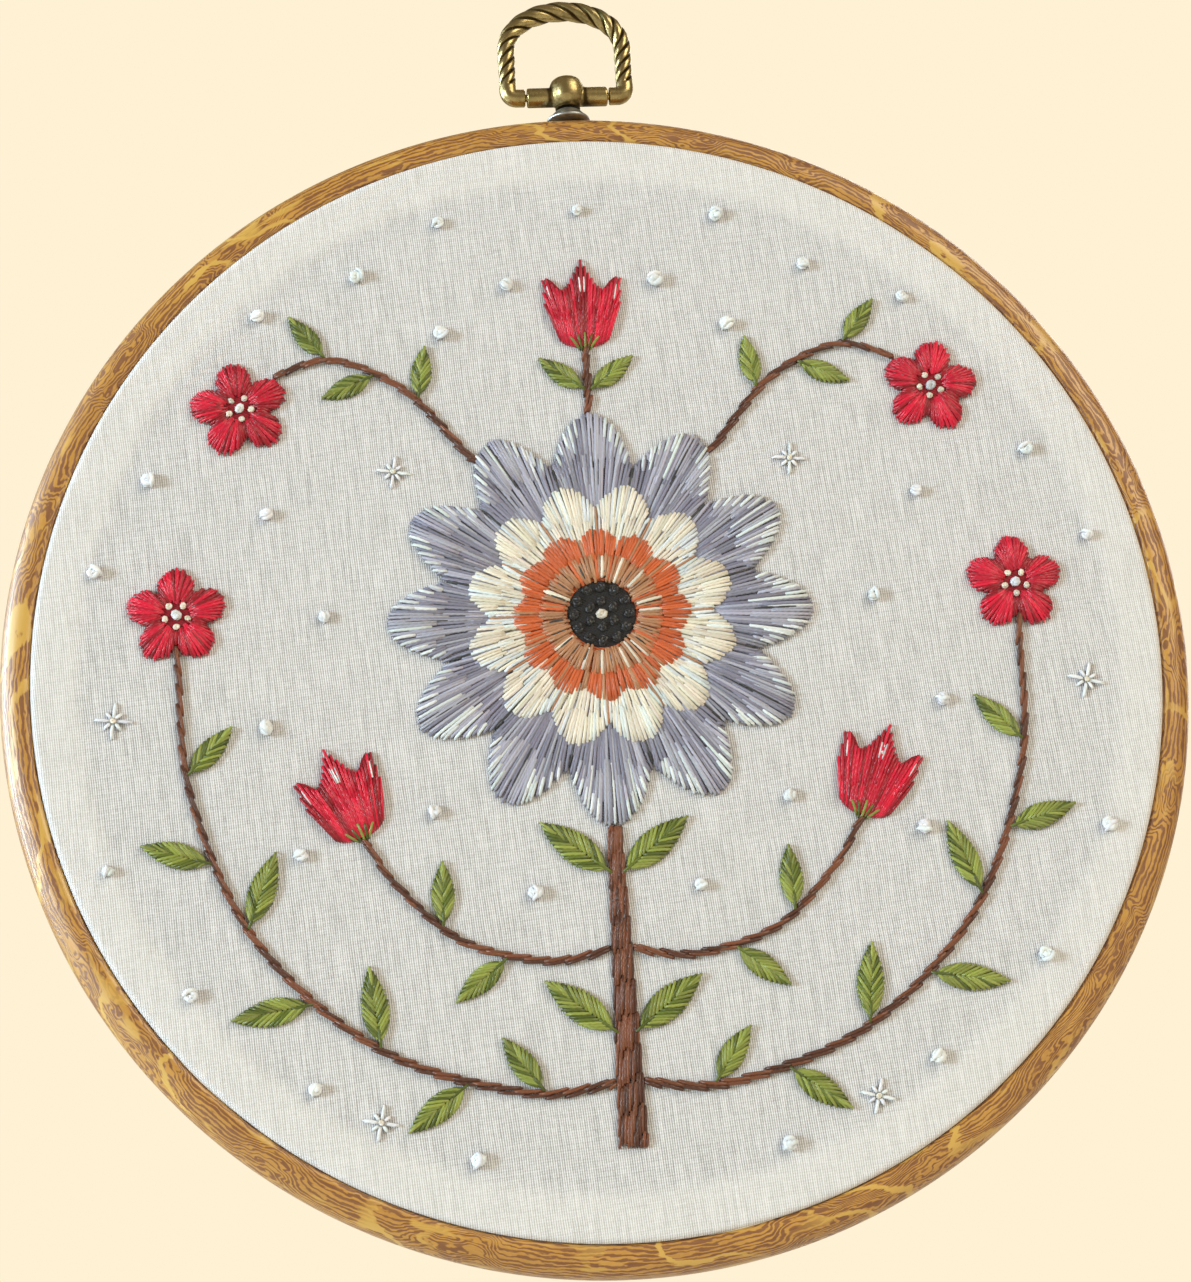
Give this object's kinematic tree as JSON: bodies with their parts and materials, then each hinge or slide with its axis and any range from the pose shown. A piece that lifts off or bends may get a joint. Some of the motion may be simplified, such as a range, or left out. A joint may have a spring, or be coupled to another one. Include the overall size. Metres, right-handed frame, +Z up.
{
  "type": "hoop embroidery art in a hanging hoop",
  "caption": "Round embroidery wall art: stitched cotton drum tight in a woodgrain vinyl hoop, hung by a brass rope-twist ring.",
  "frame": {"origin": "inside top of the hanging ring, where the nail or hook holds it, at the middle of the hoop's depth", "axes": "+Z up, the stitched face towards -Y, +X to the right of someone who looks at it"},
  "size_m": [0.178, 0.0114, 0.1993],
  "materials": {
    "hoop_vinyl": "flexible vinyl printed with an ochre and brown woodgrain, soft sheen",
    "inner_plastic": "plain moulded tan plastic",
    "cotton": "off-white plain-weave cotton, drum tight",
    "brass": "antique brass, dark in its grooves",
    "steel": "dull grey steel",
    "lavender_thread": "stranded cotton thread in long and short stitch, lavender grey with cream, rust, tan and black",
    "brown_thread": "stranded cotton thread in stem stitch, dark brown",
    "green_thread": "stranded cotton thread in fishbone stitch, leaf green",
    "crimson_thread": "stranded cotton thread in padded satin stitch, crimson",
    "white_thread": "stranded cotton thread in knots and straight stitch, white"
  },
  "bodies": {
    "root": {"outer_hoop": "hoop_vinyl", "inner_hoop": "inner_plastic", "ground_cloth": "cotton", "hanger_collar": "steel", "hanger_hub": "brass", "hanger_ring": "brass", "main_flower": "lavender_thread", "main_stem": "brown_thread", "top_stem": "brown_thread", "lower_branch_left": "brown_thread", "lower_branch_right": "brown_thread", "side_branch_left": "brown_thread", "side_branch_right": "brown_thread", "upper_branch_left": "brown_thread", "upper_branch_right": "brown_thread", "leaf_01": "green_thread", "leaf_02": "green_thread", "leaf_03": "green_thread", "leaf_04": "green_thread", "leaf_05": "green_thread", "leaf_06": "green_thread", "leaf_07": "green_thread", "leaf_08": "green_thread", "leaf_09": "green_thread", "leaf_10": "green_thread", "leaf_11": "green_thread", "leaf_12": "green_thread", "leaf_13": "green_thread", "leaf_14": "green_thread", "leaf_15": "green_thread", "leaf_16": "green_thread", "leaf_17": "green_thread", "leaf_18": "green_thread", "leaf_19": "green_thread", "leaf_20": "green_thread", "leaf_21": "green_thread", "leaf_22": "green_thread", "leaf_23": "green_thread", "leaf_24": "green_thread", "leaf_25": "green_thread", "leaf_26": "green_thread", "leaf_27": "green_thread", "leaf_28": "green_thread", "leaf_29": "green_thread", "leaf_30": "green_thread", "tulip_01": "crimson_thread", "tulip_02": "crimson_thread", "tulip_03": "crimson_thread", "blossom_01": "crimson_thread", "blossom_02": "crimson_thread", "blossom_03": "crimson_thread", "blossom_04": "crimson_thread"}
  },
  "joints": []
}
